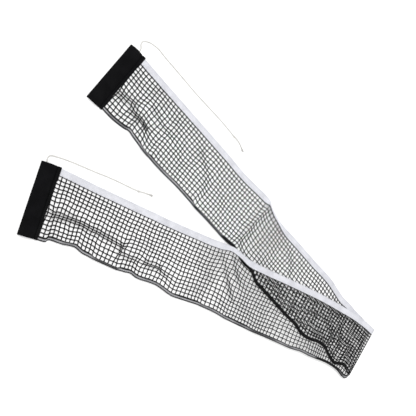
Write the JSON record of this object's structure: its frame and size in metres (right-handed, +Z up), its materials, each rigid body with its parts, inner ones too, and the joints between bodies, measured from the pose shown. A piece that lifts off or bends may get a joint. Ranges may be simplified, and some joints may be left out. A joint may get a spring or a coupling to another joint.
{
  "type": "table tennis net",
  "caption": "Table-tennis net folded once in a V: corded white top tape, square-mesh netting, corded hem, fabric post sleeve at each end and a free cord end at each sleeve.",
  "frame": {"origin": "middle of the folded net's footprint, on the surface it lies on, without the free cord ends", "axes": "+X along the folded net towards the crease, +Y towards the left half's top tape, +Z up"},
  "size_m": [0.9051, 0.4768, 0.007],
  "materials": {
    "netting": "knotted black nylon twine, slightly shiny",
    "top_tape": "woven white polyester tape, matt",
    "cord": "braided off-white cord, matt",
    "white_thread": "white sewing thread",
    "hem": "woven dark grey binding",
    "hem_cord": "braided black cord",
    "black_thread": "black sewing thread",
    "sleeve": "matt black woven canvas"
  },
  "bodies": {
    "left_half": {"left_netting": "netting", "left_top_tape": "top_tape", "left_tension_cord": "cord", "left_tape_stitching": "white_thread", "left_bottom_hem": "hem", "left_hem_cord": "hem_cord", "left_hem_stitching": "black_thread", "left_sleeve_flange": "sleeve", "left_sleeve_stitching": "black_thread"},
    "right_half": {"right_netting": "netting", "right_top_tape": "top_tape", "right_tension_cord": "cord", "right_tape_stitching": "white_thread", "right_bottom_hem": "hem", "right_hem_cord": "hem_cord", "right_hem_stitching": "black_thread", "right_sleeve_flange": "sleeve", "right_sleeve_stitching": "black_thread"},
    "left_sleeve": {"left_sleeve": "sleeve"},
    "right_sleeve": {"right_sleeve": "sleeve"},
    "left_cord_end": {"left_cord_end": "cord"},
    "right_cord_end": {"right_cord_end": "cord"}
  },
  "joints": [
    {"name": "crease_fold", "type": "hinge", "parent": "left_half", "child": "right_half", "pos_m": [0.45383, 0.042, 0.0033], "axis": [0, 1, 0], "range_deg": [0, 180]},
    {"name": "left_sleeve_fold", "type": "hinge", "parent": "left_half", "child": "left_sleeve", "pos_m": [-0.4178, 0.1471, 0.0028], "axis": [0.0208, 0.9998, 0], "range_deg": [0, 100]},
    {"name": "right_sleeve_fold", "type": "hinge", "parent": "right_half", "child": "right_sleeve", "pos_m": [-0.38549, -0.14029, 0.0028], "axis": [-0.3368, 0.9416, 0], "range_deg": [0, 100]},
    {"name": "left_cord_slide", "type": "slide", "parent": "left_half", "child": "left_cord_end", "axis": [0.0208, 0.9998, 0], "range_m": [-0.008, 0.008]},
    {"name": "right_cord_slide", "type": "slide", "parent": "right_half", "child": "right_cord_end", "axis": [-0.3368, 0.9416, 0], "range_m": [-0.008, 0.008]}
  ],
  "couplings": [
    {"joint": "right_cord_slide", "follows": "left_cord_slide", "ratio": -1}
  ]
}
